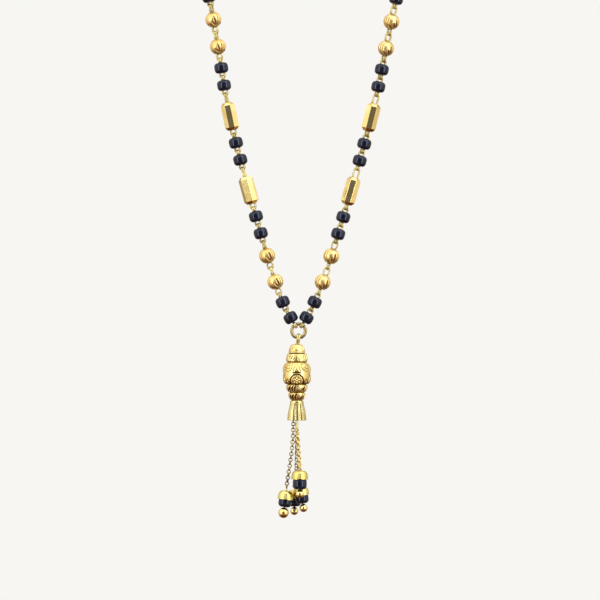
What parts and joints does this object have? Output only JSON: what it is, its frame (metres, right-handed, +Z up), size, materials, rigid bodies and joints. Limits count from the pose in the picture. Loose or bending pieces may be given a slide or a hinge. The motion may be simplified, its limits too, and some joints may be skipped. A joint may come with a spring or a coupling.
{
  "type": "mangalsutra",
  "caption": "Mangalsutra necklace: black beads, gold balls and eight-sided gold tubes on wire eyes, with a stacked carved gold pendant and beaded drops on fine chains",
  "frame": {"origin": "the middle of the neck loop, where a neck goes through", "axes": "+X to the viewer's right, +Y from the front of the neck to the nape, +Z up as worn"},
  "size_m": [0.1182, 0.1192, 0.1851],
  "materials": {
    "gold": "polished yellow gold",
    "gold_wire": "drawn gold wire",
    "black_glass": "glossy opaque black glass"
  },
  "bodies": {
    "necklace": {"black_bead_left_1": "black_glass", "black_bead_left_2": "black_glass", "gold_ball_left_3": "gold", "gold_ball_left_4": "gold", "black_bead_left_5": "black_glass", "black_bead_left_6": "black_glass", "gold_tube_left_7": "gold", "black_bead_left_8": "black_glass", "black_bead_left_9": "black_glass", "gold_tube_left_10": "gold", "black_bead_left_11": "black_glass", "black_bead_left_12": "black_glass", "gold_ball_left_13": "gold", "gold_ball_left_14": "gold", "black_bead_right_1": "black_glass", "black_bead_right_2": "black_glass", "gold_ball_right_3": "gold", "gold_ball_right_4": "gold", "black_bead_right_5": "black_glass", "black_bead_right_6": "black_glass", "gold_tube_right_7": "gold", "black_bead_right_8": "black_glass", "black_bead_right_9": "black_glass", "gold_tube_right_10": "gold", "black_bead_right_11": "black_glass", "black_bead_right_12": "black_glass", "gold_ball_right_13": "gold", "gold_ball_right_14": "gold", "back_black_beads": "black_glass", "back_gold_balls": "gold", "back_gold_tubes": "gold", "end_pin_left": "gold_wire", "end_pin_right": "gold_wire", "link_pins_left": "gold_wire", "link_pins_right": "gold_wire", "clasp": "gold"},
    "ring": {"pendant_ring": "gold"},
    "pendant": {"pendant_core": "gold_wire", "crown_cap": "gold", "upper_collar": "gold", "globe": "gold", "middle_collar": "gold", "lower_collar": "gold", "skirt": "gold", "chain_left": "gold", "chain_right": "gold", "chain_back": "gold", "chain_upper": "gold", "drop_cap_left": "gold", "drop_cap_right": "gold", "drop_cap_back": "gold", "drop_cap_upper": "gold", "drop_bead_left": "black_glass", "drop_bead_right": "black_glass", "drop_bead_back": "black_glass", "drop_bead_upper": "black_glass", "drop_tip_left": "gold_wire", "drop_tip_right": "gold_wire", "drop_tip_back": "gold_wire", "drop_tip_upper": "gold_wire"}
  },
  "joints": [
    {"name": "ring_sway", "type": "hinge", "parent": "necklace", "child": "ring", "pos_m": [0, -0.06, -0.12], "axis": [0, 1, 0], "range_deg": [-90, 90]},
    {"name": "pendant_swing", "type": "hinge", "parent": "ring", "child": "pendant", "pos_m": [0, -0.06, -0.12144], "axis": [1, 0, 0], "range_deg": [-90, 90]}
  ]
}
